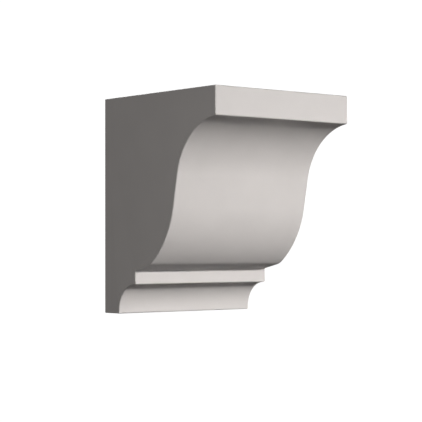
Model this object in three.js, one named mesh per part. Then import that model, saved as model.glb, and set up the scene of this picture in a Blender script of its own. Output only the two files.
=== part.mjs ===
// A plain wall corbel: a deep fascia on top, then an ogee whose belly turns under to a shallow soffit,
// a flat band, and a small cove down to the foot. Both ends are flat, so one profile runs through the
// whole width.
//
// Millimetres. X runs along the wall, Y points into the wall and Z is up. The origin is the middle of
// the flat back face, where the corbel meets the wall.

import * as THREE from "three";

// Widths and projections, measured out from the wall
const width = 200;
const fasciaProjection = 206;
const bandProjection = 60;

// Heights from the top down. The cove between the band and the foot is as tall as its radius
const fasciaHeight = 33;
const ogeeHeight = 169.8;
const bandHeight = 16.7;
const coveRadius = 32;
const footHeight = 2.5;

// How far the soffit stands out from the band, and how far the middle of the ogee stands out from the
// line between the fascia's edge and the band's
const soffitDepth = 27.5;
const middleForward = 1;

// Slopes from the level, in degrees: where the ogee leaves the fascia, in the straight between its two
// arcs, where it reaches the turn over the soffit, and along the soffit
const slopeAtFascia = 7;
const slopeAtMiddle = 79;
const slopeAtTurn = 36;
const slopeOfSoffit = 12.5;

// Radii of the long edges: the ones that stick out, the corner over the band, and the belly's turn
const edgeRadius = 1.5;
const cornerRadius = 2;
const turnRadius = 20;

// How far an arc may stand off the flat facets that draw it
const facetGap = 0.02;

// Levels, measured up from the foot
const coveTop = footHeight + coveRadius;
const bandTop = coveTop + bandHeight;
const fasciaBottom = bandTop + ogeeHeight;
const height = fasciaBottom + fasciaHeight;
const footProjection = bandProjection - coveRadius;

// Where two straight lines cross, each given by a point on it and its slope from the level
function crossing(pointA, slopeA, pointB, slopeB) {
  const riseA = Math.tan(THREE.MathUtils.degToRad(slopeA));
  const riseB = Math.tan(THREE.MathUtils.degToRad(slopeB));
  const out = (pointB.y - pointA.y + riseA * pointA.x - riseB * pointB.x) / (riseA - riseB);
  return new THREE.Vector2(out, pointA.y + riseA * (out - pointA.x));
}

// The length of each straight side that a rounded corner of this radius takes up
function takenByRound(corner, radius) {
  return radius * Math.tan(corner.turn / 2);
}

// The largest radius that fits at a corner when this much of its side is free
function radiusThatFits(corner, free) {
  return free / Math.tan(corner.turn / 2);
}

// The profile's corners, as (projection from the wall, level above the foot)
function profileCorners() {
  const fasciaEdge = new THREE.Vector2(fasciaProjection, fasciaBottom);
  const bandEdge = new THREE.Vector2(bandProjection, bandTop);
  const soffitRise = soffitDepth * Math.tan(THREE.MathUtils.degToRad(slopeOfSoffit));
  const turn = bandEdge.clone().add(new THREE.Vector2(soffitDepth, soffitRise));
  const halfway = fasciaEdge.clone().add(bandEdge).multiplyScalar(0.5);
  const middle = halfway.clone().add(new THREE.Vector2(middleForward, 0));
  const points = {
    backTop: new THREE.Vector2(0, height),
    fasciaTop: new THREE.Vector2(fasciaProjection, height),
    fasciaEdge,
    hollow: crossing(fasciaEdge, slopeAtFascia, middle, slopeAtMiddle),
    belly: crossing(middle, slopeAtMiddle, turn, slopeAtTurn),
    turn,
    bandEdge,
    bandFoot: new THREE.Vector2(bandProjection, coveTop),
    cove: new THREE.Vector2(footProjection, coveTop),
    foot: new THREE.Vector2(footProjection, 0),
    backFoot: new THREE.Vector2(0, 0),
  };
  const names = Object.keys(points);
  const corners = {};
  names.forEach((name, i) => {
    const at = points[name];
    const before = points[names[(i + names.length - 1) % names.length]];
    const after = points[names[(i + 1) % names.length]];
    const arriving = at.clone().sub(before).normalize();
    const leaving = after.clone().sub(at).normalize();
    const turn = Math.acos(THREE.MathUtils.clamp(arriving.dot(leaving), -1, 1));
    corners[name] = { at, arriving, leaving, turn, radius: 0 };
  });
  return corners;
}

// Gives each corner its radius: small ones on the edges, and the two great arcs of the ogee, which
// start at the fascia's edge and end at the turn
function roundedCorners() {
  const corners = profileCorners();
  for (const name of ["fasciaTop", "fasciaEdge", "bandFoot"]) {
    corners[name].radius = edgeRadius;
  }
  corners.foot.radius = Math.min(edgeRadius, footHeight);
  corners.bandEdge.radius = cornerRadius;
  corners.turn.radius = turnRadius;

  const { fasciaEdge, hollow, belly, turn, bandFoot, cove } = corners;
  const halfStraight = hollow.at.distanceTo(belly.at) / 2;
  const hollowSide = fasciaEdge.at.distanceTo(hollow.at) - takenByRound(fasciaEdge, edgeRadius);
  const bellySide = turn.at.distanceTo(belly.at) - takenByRound(turn, turnRadius);
  hollow.radius = radiusThatFits(hollow, Math.min(hollowSide, halfStraight));
  belly.radius = radiusThatFits(belly, Math.min(bellySide, halfStraight));
  cove.radius = coveRadius - takenByRound(bandFoot, edgeRadius);
  return Object.values(corners);
}

// The points along one corner: an arc where it is rounded, and the corner itself where it is sharp
function cornerPoints(corner) {
  const { at, arriving, leaving, turn, radius } = corner;
  if (radius === 0) {
    return [at];
  }
  const side = Math.sign(arriving.cross(leaving));
  const towardsCentre = new THREE.Vector2(-arriving.y, arriving.x).multiplyScalar(side);
  const start = at.clone().addScaledVector(arriving, -takenByRound(corner, radius));
  const centre = start.clone().addScaledVector(towardsCentre, radius);
  const firstAngle = start.clone().sub(centre).angle();
  const lastAngle = firstAngle + side * turn;
  const arc = new THREE.EllipseCurve(centre.x, centre.y, radius, radius, firstAngle, lastAngle, side < 0);
  const facetTurn = 2 * Math.acos(1 - facetGap / radius);
  return arc.getPoints(Math.ceil(turn / facetTurn));
}

// The corbel's side outline, drawn with the wall at zero and the front on the right
function profile() {
  const outline = [];
  for (const corner of roundedCorners()) {
    for (const point of cornerPoints(corner)) {
      outline.push(point);
    }
  }
  return new THREE.Shape(outline.reverse());
}

// The profile is drawn in (out, up) and pulled along the third axis, which becomes the width
function corbelGeometry() {
  const geometry = new THREE.ExtrudeGeometry(profile(), { depth: width, bevelEnabled: false, steps: 1 });
  const out = new THREE.Vector3(0, -1, 0);
  const up = new THREE.Vector3(0, 0, 1);
  const along = new THREE.Vector3().crossVectors(out, up);
  geometry.applyMatrix4(new THREE.Matrix4().makeBasis(out, up, along));
  geometry.translate(width / 2, 0, -height / 2);
  return geometry;
}

const primedWhite = new THREE.MeshStandardMaterial({
  color: 0xe6e1dc,
  roughness: 0.62,
  metalness: 0,
});

const corbel = new THREE.Mesh(corbelGeometry(), primedWhite);
corbel.name = "corbel";

const part = new THREE.Group();
part.add(corbel);

export default part;
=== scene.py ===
# %% [markdown]
# A wall corbel in Blender
#
# The object is one moulded body: a deep fascia on top, an ogee whose belly turns under to a shallow
# soffit, then a flat band and a small cove. It is sprayed with a matte, warm-white primer. One profile
# runs through the whole width, so the lesson is about three things: drawing that profile by its rule,
# easing its edges the way a mould does, and giving a nearly white surface enough detail that it
# doesn't look like plastic in a render.
#
# The solid model comes first. It is the fixed frame, and the piece made here only dresses it.

# %% Load the frame
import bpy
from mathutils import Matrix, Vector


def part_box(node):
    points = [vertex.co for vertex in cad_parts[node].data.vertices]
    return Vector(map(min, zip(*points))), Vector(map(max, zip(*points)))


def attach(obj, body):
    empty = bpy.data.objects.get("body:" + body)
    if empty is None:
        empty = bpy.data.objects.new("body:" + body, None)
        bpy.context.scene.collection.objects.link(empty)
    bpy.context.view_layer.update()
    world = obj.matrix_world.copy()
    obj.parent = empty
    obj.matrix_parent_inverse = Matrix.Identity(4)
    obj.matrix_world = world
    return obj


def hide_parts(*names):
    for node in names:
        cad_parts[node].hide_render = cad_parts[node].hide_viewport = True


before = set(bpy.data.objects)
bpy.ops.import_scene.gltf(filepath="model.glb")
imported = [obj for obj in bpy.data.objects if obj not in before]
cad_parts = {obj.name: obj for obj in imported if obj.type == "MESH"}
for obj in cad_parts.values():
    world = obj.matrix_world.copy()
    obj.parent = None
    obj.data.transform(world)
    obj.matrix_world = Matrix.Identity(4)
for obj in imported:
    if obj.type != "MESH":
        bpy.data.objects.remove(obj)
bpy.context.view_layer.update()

# %% Read the corbel's box
from math import pi, radians

import bpy
from mathutils import Matrix, Vector

low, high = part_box("corbel")
middle = (low + high) / 2
width, projection, height = high - low
print(f"corbel: {width * 1000:.0f} mm wide, {projection * 1000:.0f} deep, {height * 1000:.0f} high")


# %% [markdown]
# The camera
#
# The photograph was taken from the corbel's left and from a little below its middle, with a long lens:
# edges that run away into the wall shrink only slightly. The three angles turn the camera in the order
# that a tripod does. It turns about the upright axis, then it tilts, and then it rolls a touch about
# its own line of sight. The aim is given from the middle of the corbel, in metres.

# %% Place the camera
camera_azimuth = radians(-39.374)
camera_elevation = radians(-1.360)
camera_roll = radians(-0.117)
camera_distance = 1.7546
camera_lens = 127.16
aim_right = -0.01693
aim_up = -0.00680


def turned(azimuth, elevation, roll=0.0):
    """The turn of a camera that looks at the corbel from that side; azimuth 0 is the front."""
    about_upright = Matrix.Rotation(azimuth, 4, "Z")
    tilt = Matrix.Rotation(pi / 2 - elevation, 4, "X")
    return about_upright @ tilt @ Matrix.Rotation(roll, 4, "Z")


def add_to_scene(name, data):
    """A new object of that data, linked to the scene."""
    made = bpy.data.objects.new(name, data)
    bpy.context.scene.collection.objects.link(made)
    return made


camera_turn = turned(camera_azimuth, camera_elevation, camera_roll)
level_turn = turned(camera_azimuth, camera_elevation)
aim = middle + level_turn @ Vector((aim_right, aim_up, 0))
back_off = camera_turn @ Vector((0, 0, camera_distance))
camera = add_to_scene("camera", bpy.data.cameras.new("camera"))
camera.data.lens = camera_lens
camera.matrix_world = Matrix.Translation(aim + back_off) @ camera_turn
bpy.context.scene.camera = camera
print("camera at", [round(place, 3) for place in camera.matrix_world.translation])


# %% [markdown]
# Trees built by hand
#
# The world, the materials and Geometry Nodes are all trees of nodes. They could be wired by hand in the
# node editor, but a script can be read, checked and run again. Two small helpers keep the cells below
# short. One places a node, sets its options and fills its inputs. The other places a Math node and
# hands back its result, so that a formula takes a line or two.

# %% Helpers for every tree
def place(tree, kind, inputs, **options):
    """Adds a node, sets its options, and fills each input with a value or a link from another node."""
    made = tree.nodes.new(kind)
    for option, value in options.items():
        setattr(made, option, value)
    for name, value in inputs.items():
        if isinstance(value, bpy.types.NodeSocket):
            tree.links.new(value, made.inputs[name])
        else:
            made.inputs[name].default_value = value
    return made


def maths(tree, operation, *values):
    """The result of a Math node."""
    made = place(tree, "ShaderNodeMath", dict(enumerate(values)), operation=operation)
    return made.outputs["Value"]


# %% [markdown]
# The room
#
# The photograph has a plain white background, so the world and the floor are white. They glow for the
# camera alone. A white room that also lit the corbel would fill its hollows with light from all round,
# and the shape shows only through those shadows. The floor lies well below, because a corbel hangs on
# a wall.

# %% Make the world and the floor
background_seen = 1.05
floor_drop = 2.5
floor_reach = 40.0


def white_for_camera(tree, shader, output):
    """A white shader that glows for the camera and is dark for every other ray."""
    tree.nodes.clear()
    rays = place(tree, "ShaderNodeLightPath", {})
    glow = maths(tree, "MULTIPLY", rays.outputs["Is Camera Ray"], background_seen)
    white = place(tree, shader, {"Color": (1, 1, 1, 1), "Strength": glow})
    place(tree, output, {"Surface": white.outputs[0]})


def make_world():
    """The background."""
    world = bpy.data.worlds.new("studio")
    world.use_nodes = True
    white_for_camera(world.node_tree, "ShaderNodeBackground", "ShaderNodeOutputWorld")
    bpy.context.scene.world = world


def make_floor():
    """A wide pale floor below the corbel."""
    level = low.z - floor_drop
    sides = ((-1, -1), (1, -1), (1, 1), (-1, 1))
    corners = [(x * floor_reach, y * floor_reach, level) for x, y in sides]
    mesh = bpy.data.meshes.new("floor")
    mesh.from_pydata(corners, [], [range(len(corners))])
    material = bpy.data.materials.new("pale floor")
    material.use_nodes = True
    white_for_camera(material.node_tree, "ShaderNodeEmission", "ShaderNodeOutputMaterial")
    mesh.materials.append(material)
    floor = add_to_scene("floor", mesh)


make_world()
make_floor()
bpy.context.scene.view_settings.view_transform = "Standard"
bpy.context.scene.view_settings.look = "None"
print(f"the floor is {floor_drop} m below the foot")


# %% [markdown]
# The lamps
#
# Four soft lamps light what the photograph shows. The key lamp stands in front, a little to the right
# and above. It is small for its distance, so the soffit under the belly is dark from its edge on, and
# the belly, the fascia and the band throw short, crisp shadows. Its beam is narrow and aimed below the
# corbel, so the foot gets a little more light than the top. A large lamp at the left lifts the end
# that the key lamp doesn't reach, and a weak one at the right softens the front. A small card low on
# the right sends a little light up into the hollows.
#
# Two more lamps stand behind, one above and one below the corbel's middle. This camera sees their
# light only as a thin line on a few rounded edges. They are there for the back, the top and the
# underside. The lower one stands high enough that the body shades its own soffit from it.
#
# A picture of a studio, wrapped round the world, could light the corbel too. Lamps are used because
# each can be moved or dimmed by itself until its share of the shading is right.

# %% Place the lamps
def soft_lamp(name, azimuth, elevation, distance, size, power, aim_drop=0.0, beam=180.0):
    """A square lamp at that angle round the corbel, aimed at its middle or that far below it."""
    data = bpy.data.lights.new(name, "AREA")
    data.size = size
    data.energy = power
    data.spread = radians(beam)
    lamp = add_to_scene(name, data)
    lamp.visible_camera = False
    away = turned(radians(azimuth), radians(elevation)) @ Vector((0, 0, distance))
    line_of_sight = away + Vector((0, 0, aim_drop))
    turn = line_of_sight.to_track_quat("Z", "Y").to_matrix().to_4x4()
    lamp.matrix_world = Matrix.Translation(middle + away) @ turn
    print(f"{name}: {power} W, {distance} m away")


soft_lamp("key lamp", azimuth=20, elevation=15, distance=2.5, size=0.12, power=5.5,
          aim_drop=0.3, beam=56)
soft_lamp("left lamp", azimuth=-60, elevation=0, distance=2.5, size=1.5, power=17.5)
soft_lamp("right lamp", azimuth=30, elevation=0, distance=2.5, size=1.5, power=3.0)
soft_lamp("low right card", azimuth=45, elevation=-45, distance=0.5, size=0.3, power=0.17)
soft_lamp("upper back lamp", azimuth=160, elevation=30, distance=2.5, size=1.5, power=45.0)
soft_lamp("lower back lamp", azimuth=165, elevation=-12, distance=2.5, size=1.0, power=14.0)


# %% [markdown]
# The profile's corners
#
# Seen from the side, the corbel is a polygon with rounded corners. Most corners lie where a level line
# meets an upright one. Over the band the body goes out along a shallow soffit, whose outer end is the
# turn. The two corners that carry the ogee lie where a steep line, close to the middle of the front,
# crosses the gentle lines that leave the fascia and the turn. Drawn like this, three slopes say all
# there is to say about the ogee's swing, and the two great arcs follow from them. A curve through many
# points could have the same shape, but it would show every unsteady point as a ripple in the shading.
#
# Two groups do the geometry. One crosses two sloping lines, and one says how sharply a corner turns.
# A few more helpers come first, for vectors and for an empty group with named inputs and outputs.

# %% Helpers for vectors and groups
def vector_maths(tree, operation, *values):
    """The vector that a Vector Math node gives."""
    made = place(tree, "ShaderNodeVectorMath", dict(enumerate(values)), operation=operation)
    return made.outputs["Vector"]


def vector_size(tree, vector):
    """The length of a vector."""
    made = place(tree, "ShaderNodeVectorMath", {0: vector}, operation="LENGTH")
    return made.outputs["Value"]


def scaled(tree, vector, factor):
    """A vector times a number."""
    made = place(tree, "ShaderNodeVectorMath", {0: vector, "Scale": factor}, operation="SCALE")
    return made.outputs["Vector"]


def vector_of(tree, **parts):
    """A vector put together from the parts that are named; a part left out is zero."""
    return place(tree, "ShaderNodeCombineXYZ", parts).outputs["Vector"]


def parts_of(tree, vector):
    """The X, Y and Z of a vector."""
    return place(tree, "ShaderNodeSeparateXYZ", {"Vector": vector}).outputs


def new_group(name, kind, inputs, outputs):
    """An empty node group with those sockets: name to socket type."""
    tree = bpy.data.node_groups.new(name, kind)
    for socket, socket_type in inputs.items():
        tree.interface.new_socket(socket, in_out="INPUT", socket_type=socket_type)
    for socket, socket_type in outputs.items():
        tree.interface.new_socket(socket, in_out="OUTPUT", socket_type=socket_type)
    given = tree.nodes.new("NodeGroupInput")
    result = tree.nodes.new("NodeGroupOutput")
    return tree, given.outputs, result.inputs


# %% Groups for corners
def crossing_group():
    """Where two lines cross, each given by a point on it and its slope from the level."""
    tree, given, result = new_group(
        "Where two lines cross",
        "GeometryNodeTree",
        {"Point A": "NodeSocketVector", "Slope A": "NodeSocketFloat",
         "Point B": "NodeSocketVector", "Slope B": "NodeSocketFloat"},
        {"Point": "NodeSocketVector"},
    )
    rise_a = maths(tree, "TANGENT", given["Slope A"])
    rise_b = maths(tree, "TANGENT", given["Slope B"])
    a = parts_of(tree, given["Point A"])
    b = parts_of(tree, given["Point B"])
    start_a = maths(tree, "SUBTRACT", a["Y"], maths(tree, "MULTIPLY", rise_a, a["X"]))
    start_b = maths(tree, "SUBTRACT", b["Y"], maths(tree, "MULTIPLY", rise_b, b["X"]))
    rise_difference = maths(tree, "SUBTRACT", rise_a, rise_b)
    out = maths(tree, "DIVIDE", maths(tree, "SUBTRACT", start_b, start_a), rise_difference)
    up = maths(tree, "MULTIPLY_ADD", rise_a, out, start_a)
    tree.links.new(vector_of(tree, X=out, Y=up), result["Point"])
    return tree


def half_turn_group():
    """The tangent of half the angle that the outline turns by at a corner."""
    tree, given, result = new_group(
        "Half turn of a corner",
        "GeometryNodeTree",
        dict.fromkeys(("Before", "Corner", "After"), "NodeSocketVector"),
        {"Tangent": "NodeSocketFloat"},
    )
    arriving = vector_maths(tree, "SUBTRACT", given["Corner"], given["Before"])
    leaving = vector_maths(tree, "SUBTRACT", given["After"], given["Corner"])
    arriving = vector_maths(tree, "NORMALIZE", arriving)
    leaving = vector_maths(tree, "NORMALIZE", leaving)
    difference = vector_size(tree, vector_maths(tree, "SUBTRACT", leaving, arriving))
    total = vector_size(tree, vector_maths(tree, "ADD", leaving, arriving))
    tree.links.new(maths(tree, "DIVIDE", difference, total), result["Tangent"])
    return tree


crossing = crossing_group()
half_turn = half_turn_group()
print(f"{crossing.name}: {len(crossing.nodes)} nodes; {half_turn.name}: {len(half_turn.nodes)} nodes")


# %% [markdown]
# Sizes that the tree is given
#
# The overall width, projection and height come from the solid model. The rest are the profile's own
# sizes, in metres and degrees, and the ogee takes the height that they leave. Each of them becomes a
# named input of the tree.

# %% Sizes of the profile
band_projection = 0.060
fascia_height = 0.033
band_height = 0.0167
cove_radius = 0.032
foot_height = 0.0025
ogee_height = height - fascia_height - band_height - cove_radius - foot_height
middle_forward = 0.001
soffit_depth = 0.0275
slope_at_fascia = 7
slope_at_middle = 79
slope_at_turn = 36
slope_of_soffit = 12.5
edge_radius = 0.0015
corner_radius = 0.002
turn_radius = 0.020
end_radius = 0.0012
print(f"the ogee is {ogee_height * 1000:.1f} mm high")


# %% Name the tree's inputs
body_sizes = {
    "Width": width,
    "Fascia Projection": projection,
    "Band Projection": band_projection,
    "Fascia Height": fascia_height,
    "Ogee Height": ogee_height,
    "Band Height": band_height,
    "Cove Radius": cove_radius,
    "Foot Height": foot_height,
    "Middle Forward": middle_forward,
    "Soffit Depth": soffit_depth,
    "Slope at Fascia": radians(slope_at_fascia),
    "Slope at Middle": radians(slope_at_middle),
    "Slope at Turn": radians(slope_at_turn),
    "Slope of Soffit": radians(slope_of_soffit),
    "Edge Radius": edge_radius,
    "Corner Radius": corner_radius,
    "Turn Radius": turn_radius,
    "End Radius": end_radius,
    "Foot Level": low.z,
}
print(f"{len(body_sizes)} named sizes")


# %% Find the eleven corners
def profile_corners(tree, given):
    """The corners as (projection from the wall, level above the foot), from the back's top round."""
    cove_top = maths(tree, "ADD", given["Foot Height"], given["Cove Radius"])
    band_top = maths(tree, "ADD", cove_top, given["Band Height"])
    fascia_bottom = maths(tree, "ADD", band_top, given["Ogee Height"])
    top = maths(tree, "ADD", fascia_bottom, given["Fascia Height"])
    foot_out = maths(tree, "SUBTRACT", given["Band Projection"], given["Cove Radius"])

    fascia_edge = vector_of(tree, X=given["Fascia Projection"], Y=fascia_bottom)
    band_edge = vector_of(tree, X=given["Band Projection"], Y=band_top)
    soffit_steepness = maths(tree, "TANGENT", given["Slope of Soffit"])
    soffit_rise = maths(tree, "MULTIPLY", given["Soffit Depth"], soffit_steepness)
    along_soffit = vector_of(tree, X=given["Soffit Depth"], Y=soffit_rise)
    turn = vector_maths(tree, "ADD", band_edge, along_soffit)
    halfway = scaled(tree, vector_maths(tree, "ADD", fascia_edge, band_edge), 1 / 2)
    centre = vector_maths(tree, "ADD", halfway, vector_of(tree, X=given["Middle Forward"]))

    def on_the_steep_line(edge, slope):
        lines = {
            "Point A": edge,
            "Slope A": slope,
            "Point B": centre,
            "Slope B": given["Slope at Middle"],
        }
        return place(tree, "GeometryNodeGroup", lines, node_tree=crossing).outputs["Point"]

    return {
        "back top": vector_of(tree, Y=top),
        "fascia top": vector_of(tree, X=given["Fascia Projection"], Y=top),
        "fascia edge": fascia_edge,
        "hollow": on_the_steep_line(fascia_edge, given["Slope at Fascia"]),
        "belly": on_the_steep_line(turn, given["Slope at Turn"]),
        "turn": turn,
        "band edge": band_edge,
        "band foot": vector_of(tree, X=given["Band Projection"], Y=cove_top),
        "cove": vector_of(tree, X=foot_out, Y=cove_top),
        "foot": vector_of(tree, X=foot_out),
        "back foot": vector_of(tree),
    }


# %% Find each corner's radius
def corner_radii(tree, given, corners):
    """A small radius on each edge, and at the hollow and the belly the largest arcs that fit."""
    names = list(corners)

    def half_turn_at(name):
        here = names.index(name)
        before = corners[names[here - 1]]
        after = corners[names[here + 1]]
        inputs = {"Before": before, "Corner": corners[name], "After": after}
        return place(tree, "GeometryNodeGroup", inputs, node_tree=half_turn).outputs["Tangent"]

    def distance(one, other):
        return vector_size(tree, vector_maths(tree, "SUBTRACT", corners[one], corners[other]))

    def great_radius(name, edge, edge_round):
        taken = maths(tree, "MULTIPLY", edge_round, half_turn_at(edge))
        side = maths(tree, "SUBTRACT", distance(edge, name), taken)
        free = maths(tree, "MINIMUM", side, half_straight)
        return maths(tree, "DIVIDE", free, half_turn_at(name))

    half_straight = maths(tree, "DIVIDE", distance("hollow", "belly"), 2)
    taken_by_band = maths(tree, "MULTIPLY", given["Edge Radius"], half_turn_at("band foot"))
    radii = dict.fromkeys(("fascia top", "fascia edge", "band foot"), given["Edge Radius"])
    radii["foot"] = maths(tree, "MINIMUM", given["Edge Radius"], given["Foot Height"])
    radii["band edge"] = given["Corner Radius"]
    radii["turn"] = given["Turn Radius"]
    radii["hollow"] = great_radius("hollow", "fascia edge", given["Edge Radius"])
    radii["belly"] = great_radius("belly", "turn", given["Turn Radius"])
    radii["cove"] = maths(tree, "SUBTRACT", given["Cove Radius"], taken_by_band)
    return radii


# %% [markdown]
# One closed outline
#
# A ring of points is moved to the corners, one for each, and Fillet Curve rounds each of them by its own
# radius. An Index Switch hands out the places and the radii: it picks the value whose number is the
# point's own. Where one arc runs into the next with no straight between them, the fillets leave two
# points on one spot, and one of each pair goes.
#
# Lines and arcs could also be made one by one and joined. A single closed curve is better here, because
# it knows its own direction at every point, and the rounded ends need that.

# %% Choose a value by number
def pick(tree, kind, index, values):
    """An Index Switch: the value whose place in the list is the index."""
    switch = place(tree, "GeometryNodeIndexSwitch", {}, data_type=kind)
    while len(switch.index_switch_items) < len(values):
        switch.index_switch_items.new()
    tree.links.new(index, switch.inputs["Index"])
    for number, value in enumerate(values, start=1):
        if isinstance(value, bpy.types.NodeSocket):
            tree.links.new(value, switch.inputs[number])
        else:
            switch.inputs[number].default_value = value
    return switch.outputs["Output"]


# %% Measure the steps along an outline
def own_index(tree):
    """The number of each point."""
    return place(tree, "GeometryNodeInputIndex", {}).outputs["Index"]


def own_position(tree):
    """The place of each point."""
    return place(tree, "GeometryNodeInputPosition", {}).outputs["Position"]


def point_count(tree, curve):
    """How many points a curve has."""
    size = place(tree, "GeometryNodeAttributeDomainSize", {"Geometry": curve}, component="CURVE")
    return size.outputs["Point Count"]


def step_to_neighbour(tree, side, count):
    """At each point of a closed outline, the distance to the next point (side 1) or the last (-1)."""
    position = own_position(tree)
    neighbour = maths(tree, "FLOORED_MODULO", maths(tree, "ADD", own_index(tree), side), count)
    there = place(tree, "GeometryNodeFieldAtIndex", {"Index": neighbour, "Value": position},
                  data_type="FLOAT_VECTOR", domain="POINT").outputs["Value"]
    return vector_size(tree, vector_maths(tree, "SUBTRACT", there, position))


# %% Draw the outline
great_arc_facets = 48
small_arc_facets = 8
same_place = 1e-6
print(f"facets: {great_arc_facets} in a great arc, {small_arc_facets} in a small one")


def outline_curve(tree, given):
    """The closed outline: a ring of points moved to the corners, then filleted."""
    corners = profile_corners(tree, given)
    radii = corner_radii(tree, given, corners)
    facets = dict.fromkeys(radii, small_arc_facets)
    facets |= dict.fromkeys(("hollow", "belly", "cove"), great_arc_facets)
    index = own_index(tree)
    ring = place(tree, "GeometryNodeCurvePrimitiveCircle", {"Resolution": len(corners)}, mode="RADIUS")
    moved = place(tree, "GeometryNodeSetPosition", {
        "Geometry": ring.outputs["Curve"],
        "Position": pick(tree, "VECTOR", index, list(corners.values())),
    })
    filleted = place(tree, "GeometryNodeFilletCurve", {
        "Curve": moved.outputs["Geometry"],
        "Count": pick(tree, "INT", index, [facets.get(name, 1) for name in corners]),
        "Radius": pick(tree, "FLOAT", index, [radii.get(name, 0.0) for name in corners]),
    }, mode="POLY").outputs["Curve"]
    to_next = step_to_neighbour(tree, 1, point_count(tree, filleted))
    doubled = maths(tree, "LESS_THAN", to_next, same_place)
    cleaned = place(tree, "GeometryNodeDeleteGeometry", {"Geometry": filleted, "Selection": doubled},
                    domain="POINT")
    return cleaned.outputs["Geometry"]


# %% [markdown]
# A skin with rounded ends
#
# A flat grid is wrapped round the outline: a column of the grid for each point of the outline, and a row
# for each step across the width. The first and last rows follow a quarter circle inwards, so both ends
# get a small rounded edge all along the profile, as a moulded body has. The edges against the wall stay
# sharp, because the back is one flat face: there, the rows only move up or down.
#
# Sweeping the outline along a line would be shorter, but it leaves knife-sharp ends, and those are what
# gives a computer-made moulding away.

# %% Find the way into the material
def way_inwards(tree):
    """At each outline point, the unit step into the material; at the wall, straight up or down only."""
    tangent = place(tree, "GeometryNodeInputTangent", {}).outputs["Tangent"]
    inwards = vector_maths(tree, "CROSS_PRODUCT", tangent, (0, 0, 1))
    up_or_down = vector_maths(tree, "MULTIPLY", vector_maths(tree, "SIGN", inwards), (0, 1, 0))
    from_wall = parts_of(tree, own_position(tree))["X"]
    choice = place(tree, "GeometryNodeSwitch", {
        "Switch": maths(tree, "LESS_THAN", from_wall, same_place),
        "False": inwards,
        "True": up_or_down,
    }, input_type="VECTOR")
    return choice.outputs["Output"]


# %% Number the points of the skin
end_facets = 6
rows = 2 * (end_facets + 1)
print(f"{rows} rows across the width, with {end_facets} facets round the edge of each end")


def skin_places(tree, count):
    """For each point of the skin, the outline point that it follows and its row across the width."""
    index = own_index(tree)
    column = maths(tree, "FLOOR", maths(tree, "DIVIDE", index, rows))
    return maths(tree, "FLOORED_MODULO", column, count), maths(tree, "FLOORED_MODULO", index, rows)


# %% Round the ends
def end_rounding(tree, given, row):
    """How far across a row lies, how far it moves inwards, and its angle round the end's edge."""
    from_middle = maths(tree, "SUBTRACT", row, (rows - 1) / 2)
    side = maths(tree, "SIGN", from_middle)
    steps = maths(tree, "FLOOR", maths(tree, "ABSOLUTE", from_middle))
    angle = maths(tree, "MULTIPLY", steps, pi / 2 / end_facets)
    radius = given["End Radius"]
    to_the_side = maths(tree, "MULTIPLY", radius, maths(tree, "SINE", angle))
    drawn_back = maths(tree, "SUBTRACT", radius, to_the_side)
    to_the_surface = maths(tree, "MULTIPLY", radius, maths(tree, "COSINE", angle))
    inset = maths(tree, "SUBTRACT", radius, to_the_surface)
    half_width = maths(tree, "DIVIDE", given["Width"], 2)
    across = maths(tree, "MULTIPLY", side, maths(tree, "SUBTRACT", half_width, drawn_back))
    return across, inset, angle


# %% Mark the eased edges
longest_eased_step = 1 / 4
print(f"steps shorter than {edge_radius * longest_eased_step * 1000:.3f} mm belong to an eased edge")


def eased_edges(tree, given, count):
    """1 at the outline's points that lie inside a small rounded edge, and 0 elsewhere. There the steps
    to both neighbours are shorter than a set share of the edge's radius."""
    to_next = step_to_neighbour(tree, 1, count)
    to_last = step_to_neighbour(tree, -1, count)
    longer = maths(tree, "MAXIMUM", to_next, to_last)
    limit = maths(tree, "MULTIPLY", given["Edge Radius"], longest_eased_step)
    return maths(tree, "LESS_THAN", longer, limit)


# %% Wrap the skin round the outline
def wrapped_skin(tree, given, outline, inwards):
    """The grid wrapped round the outline, with an attribute that is 1 along the eased edges."""
    count = point_count(tree, outline)
    column, row = skin_places(tree, count)
    across, inset, angle = end_rounding(tree, given, row)

    def at_column(kind, value):
        chosen = {"Geometry": outline, "Value": value, "Index": column}
        sample = place(tree, "GeometryNodeSampleIndex", chosen, data_type=kind, domain="POINT")
        return sample.outputs["Value"]

    on_outline = at_column("FLOAT_VECTOR", own_position(tree))
    moved_in = scaled(tree, at_column("FLOAT_VECTOR", inwards), inset)
    in_profile = vector_maths(tree, "ADD", on_outline, moved_in)
    columns = maths(tree, "ADD", count, 1)
    grid = place(tree, "GeometryNodeMeshGrid", {"Vertices X": columns, "Vertices Y": rows})
    skin = place(tree, "GeometryNodeSetPosition", {
        "Geometry": grid.outputs["Mesh"],
        "Position": vector_maths(tree, "ADD", in_profile, vector_of(tree, Z=across)),
    })
    round_the_end = maths(tree, "SINE", maths(tree, "MULTIPLY", angle, 2))
    along_the_edge = at_column("FLOAT", eased_edges(tree, given, count))
    marked = place(tree, "GeometryNodeStoreNamedAttribute", {
        "Geometry": skin.outputs["Geometry"],
        "Name": "eased",
        "Value": maths(tree, "MAXIMUM", along_the_edge, round_the_end),
    }, data_type="FLOAT", domain="POINT")
    outward = place(tree, "GeometryNodeFlipFaces", {"Mesh": marked.outputs["Geometry"]})
    return outward.outputs["Mesh"]


# %% [markdown]
# Two ends, and the body stands up
#
# The outline, moved inwards by the radius of the end's edge, is filled twice, and the two flat faces
# close the skin. The body is still drawn with its profile lying flat, so it is turned upright, set on
# the foot's level, and shaded smooth except along its sharp edges. The flat back gets a finish of its
# own, and its faces are found by the way they face, because their numbers change with the sizes.

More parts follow.
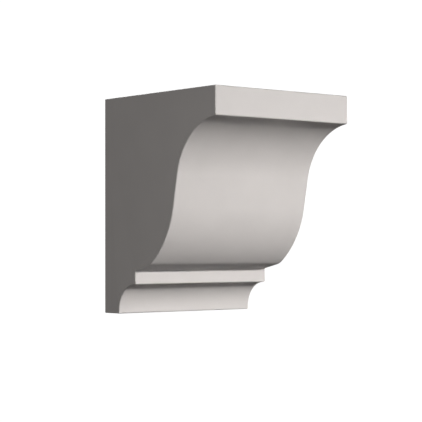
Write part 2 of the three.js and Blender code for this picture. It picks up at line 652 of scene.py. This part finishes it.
# %% Close the ends
def closed_body(tree, given, outline, inwards, skin):
    """The skin with a flat face on each end, as one closed mesh."""
    smaller = place(tree, "GeometryNodeSetPosition", {
        "Geometry": outline,
        "Offset": scaled(tree, inwards, given["End Radius"]),
    }).outputs["Geometry"]
    face = place(tree, "GeometryNodeFillCurve", {"Curve": smaller}, mode="NGONS").outputs["Mesh"]
    other_face = place(tree, "GeometryNodeFlipFaces", {"Mesh": face}).outputs["Mesh"]
    half_width = maths(tree, "DIVIDE", given["Width"], 2)
    join = place(tree, "GeometryNodeJoinGeometry", {"Geometry": skin})
    for mesh, side in ((face, 1), (other_face, -1)):
        across = maths(tree, "MULTIPLY", half_width, side)
        end = place(tree, "GeometryNodeTransform", {
            "Geometry": mesh,
            "Translation": vector_of(tree, Z=across),
        })
        tree.links.new(end.outputs["Geometry"], join.inputs["Geometry"])
    merged = place(tree, "GeometryNodeMergeByDistance", {
        "Geometry": join.outputs["Geometry"],
        "Distance": same_place,
    })
    return merged.outputs["Geometry"]


# %% Turn it upright and shade it
sharp_turn = 40
upright_turn = (pi / 2, 0, -pi / 2)
print(f"an edge where two faces turn by more than {sharp_turn} degrees stays crisp")


def shaded_upright(tree, given, body):
    """The body turned upright, smooth along its curves and crisp where two faces turn sharply."""
    upright = place(tree, "GeometryNodeTransform", {
        "Geometry": body,
        "Translation": vector_of(tree, Z=given["Foot Level"]),
        "Rotation": upright_turn,
    })
    smooth = place(tree, "GeometryNodeSetShadeSmooth", {"Geometry": upright.outputs["Geometry"]})
    turn = place(tree, "GeometryNodeInputMeshEdgeAngle", {}).outputs["Unsigned Angle"]
    crisp = place(tree, "GeometryNodeSetShadeSmooth", {
        "Geometry": smooth.outputs["Geometry"],
        "Selection": maths(tree, "GREATER_THAN", turn, radians(sharp_turn)),
        "Shade Smooth": False,
    }, domain="EDGE")
    return crisp.outputs["Geometry"]


# %% Give it its two finishes
facing_wall = 0.99


def finished(tree, given, body):
    """The body with the primer all over, and the back's own finish on the face against the wall."""
    realized = place(tree, "GeometryNodeRealizeInstances", {"Geometry": body})
    primed = place(tree, "GeometryNodeSetMaterial", {
        "Geometry": realized.outputs["Geometry"],
        "Material": given["Primer"],
    })
    normal = place(tree, "GeometryNodeInputNormal", {}).outputs["Normal"]
    backed = place(tree, "GeometryNodeSetMaterial", {
        "Geometry": primed.outputs["Geometry"],
        "Selection": maths(tree, "GREATER_THAN", parts_of(tree, normal)["Y"], facing_wall),
        "Material": given["Back"],
    })
    return backed.outputs["Geometry"]


# %% Build the whole tree
def body_tree():
    """The corbel from its named sizes: outline, skin, two ends, upright, finished."""
    inputs = dict.fromkeys(body_sizes, "NodeSocketFloat")
    inputs |= {"Primer": "NodeSocketMaterial", "Back": "NodeSocketMaterial"}
    outputs = {"Geometry": "NodeSocketGeometry"}
    tree, given, result = new_group("Corbel", "GeometryNodeTree", inputs, outputs)
    tree.is_modifier = True
    outline = outline_curve(tree, given)
    print(f"outline drawn: {len(tree.nodes)} nodes so far")
    inwards = way_inwards(tree)
    skin = wrapped_skin(tree, given, outline, inwards)
    print(f"skin wrapped round it: {len(tree.nodes)}")
    body = closed_body(tree, given, outline, inwards, skin)
    print(f"ends closed: {len(tree.nodes)}")
    upright = shaded_upright(tree, given, body)
    tree.links.new(finished(tree, given, upright), result["Geometry"])
    print(f"turned upright and finished: {len(tree.nodes)} nodes in all")
    return tree


# %% [markdown]
# The primer
#
# A sprayed primer on a moulded body is matte and almost even, but never perfectly so. Three things show:
# a fine orange peel left by the spray, very faint broad patches where the coat lies thicker or thinner,
# and eased edges from which the wet coat draws back, so it is thinner and smoother there. The thickness
# and the peel are node groups, because the front and the flat back share them with different values.

# %% Group for the coat's thickness
def thickness_group():
    """How thick the coat lies, about 0.5 on average: broad, soft patches, and less on eased edges."""
    layers_of_patches = 3.0
    strength_of_each_finer_layer = 0.55
    tree, given, result = new_group(
        "Thickness of the coat",
        "ShaderNodeTree",
        dict.fromkeys(("Patch Size", "Contrast", "Edge Loss"), "NodeSocketFloat"),
        {"Thickness": "NodeSocketFloat"},
    )
    noise = place(tree, "ShaderNodeTexNoise", {
        "Vector": place(tree, "ShaderNodeTexCoord", {}).outputs["Object"],
        "Scale": maths(tree, "DIVIDE", 1, given["Patch Size"]),
        "Detail": layers_of_patches,
        "Roughness": strength_of_each_finer_layer,
    })
    average = 0.5
    drift = maths(tree, "SUBTRACT", noise.outputs["Fac"], average)
    patches = maths(tree, "MULTIPLY_ADD", drift, given["Contrast"], average)
    eased = place(tree, "ShaderNodeAttribute", {}, attribute_name="eased").outputs["Fac"]
    lost = maths(tree, "MULTIPLY", eased, given["Edge Loss"])
    tree.links.new(maths(tree, "SUBTRACT", patches, lost), result["Thickness"])
    return tree


# %% Group for the orange peel
def orange_peel_group():
    """The height of a sprayed coat's fine dimples, with a still finer grit on them."""
    tree, given, result = new_group(
        "Orange peel",
        "ShaderNodeTree",
        dict.fromkeys(("Dimple Size", "Grit"), "NodeSocketFloat"),
        {"Height": "NodeSocketFloat"},
    )
    finer = 4
    layers_of_dimples = 1.0
    layers_of_grit = 2.0
    where = place(tree, "ShaderNodeTexCoord", {}).outputs["Object"]
    scale = maths(tree, "DIVIDE", 1, given["Dimple Size"])
    fine_scale = maths(tree, "MULTIPLY", scale, finer)
    dimples = place(tree, "ShaderNodeTexNoise", {
        "Vector": where,
        "Scale": scale,
        "Detail": layers_of_dimples,
    })
    fine = place(tree, "ShaderNodeTexNoise", {
        "Vector": where,
        "Scale": fine_scale,
        "Detail": layers_of_grit,
    })
    height = maths(tree, "MULTIPLY_ADD", fine.outputs["Fac"], given["Grit"], dimples.outputs["Fac"])
    tree.links.new(height, result["Height"])
    return tree


coat_thickness = thickness_group()
orange_peel = orange_peel_group()
for group in (coat_thickness, orange_peel):
    print(f"{group.name}: {len(group.nodes)} nodes")


# %% Mix the primer
def colour_between(tree, factor, first, second):
    """The first colour where the factor is 0, the second where it is 1. A Mix node has sockets of
    several kinds that are all called A, B and Result, so the colour ones are chosen by their type."""
    made = place(tree, "ShaderNodeMix", {"Factor": factor}, data_type="RGBA")
    ends = [socket for socket in made.inputs if socket.type == "RGBA"]
    for socket, colour in zip(ends, (first, second)):
        socket.default_value = (*colour, 1)
    return next(socket for socket in made.outputs if socket.type == "RGBA")


def sprayed_coat(name, colour, colour_drift, roughness, roughness_drift, thickness, peel, peel_depth):
    """A matte sprayed coat, a little darker and smoother where it is thin than where it is thick."""
    material = bpy.data.materials.new(name)
    material.use_nodes = True
    tree = material.node_tree
    shader = tree.nodes["Principled BSDF"]
    coat = place(tree, "ShaderNodeGroup", thickness, node_tree=coat_thickness).outputs["Thickness"]
    thin = [part * (1 - colour_drift) for part in colour]
    thick = [part * (1 + colour_drift) for part in colour]
    tree.links.new(colour_between(tree, coat, thin, thick), shader.inputs["Base Color"])
    smoothest = roughness - roughness_drift
    drifting = maths(tree, "MULTIPLY_ADD", coat, 2 * roughness_drift, smoothest)
    tree.links.new(drifting, shader.inputs["Roughness"])
    dimples = place(tree, "ShaderNodeGroup", peel, node_tree=orange_peel).outputs["Height"]
    bump = place(tree, "ShaderNodeBump", {"Height": dimples, "Distance": peel_depth, "Strength": 1.0})
    tree.links.new(bump.outputs["Normal"], shader.inputs["Normal"])
    return material


# %% Two coats: the corbel's own, and a thinner one on the back
primer = sprayed_coat(
    "warm white primer",
    colour=(0.6505, 0.6125, 0.5905),
    colour_drift=0.045,
    roughness=0.6,
    roughness_drift=0.04,
    thickness={"Patch Size": 0.045, "Contrast": 1.0, "Edge Loss": 0.5},
    peel={"Dimple Size": 0.0016, "Grit": 0.25},
    peel_depth=0.00004,
)
back_primer = sprayed_coat(
    "thin primer on the back",
    colour=(0.63, 0.605, 0.575),
    colour_drift=0.045,
    roughness=0.68,
    roughness_drift=0.04,
    thickness={"Patch Size": 0.045, "Contrast": 1.6, "Edge Loss": 0.0},
    peel={"Dimple Size": 0.0011, "Grit": 0.6},
    peel_depth=0.00008,
)
print(f"finishes: {primer.name}, {back_primer.name}")


# %% [markdown]
# From tree to mesh
#
# The modifier works on an empty mesh, because the tree makes everything itself. Its inputs are set by
# their identifiers, the only names that a modifier knows. A Weighted Normal modifier follows: it lets
# the large flat faces keep their own direction, so that only the small rounded edges bend the light.
#
# The plain mesh comes out with one empty material slot before the two real ones. It is taken out, so
# that each slot of the finished mesh holds a finish.

# %% Make the body
def grown(name, tree, values):
    """Runs a Geometry Nodes tree on a new object and keeps only the plain mesh that comes out."""
    seed_object = add_to_scene(name + " tree", bpy.data.meshes.new(name + " tree"))
    modifier = seed_object.modifiers.new("tree", "NODES")
    modifier.node_group = tree
    for item in tree.interface.items_tree:
        if item.item_type == "SOCKET" and item.in_out == "INPUT":
            modifier[item.identifier] = values[item.name]
    weighted = seed_object.modifiers.new("normals", "WEIGHTED_NORMAL")
    weighted.keep_sharp = True
    evaluated = seed_object.evaluated_get(bpy.context.evaluated_depsgraph_get())
    mesh = bpy.data.meshes.new_from_object(evaluated)
    bpy.data.objects.remove(seed_object)
    while None in list(mesh.materials):
        empty_slot = list(mesh.materials).index(None)
        mesh.materials.pop(index=empty_slot)
    mesh.name = name
    return add_to_scene(name, mesh)


body = grown("corbel_body", body_tree(), body_sizes | {"Primer": primer, "Back": back_primer})
print(f"{body.name}: {len(body.data.vertices)} points, {len(body.data.polygons)} faces")

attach(body, "root")
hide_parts("corbel")
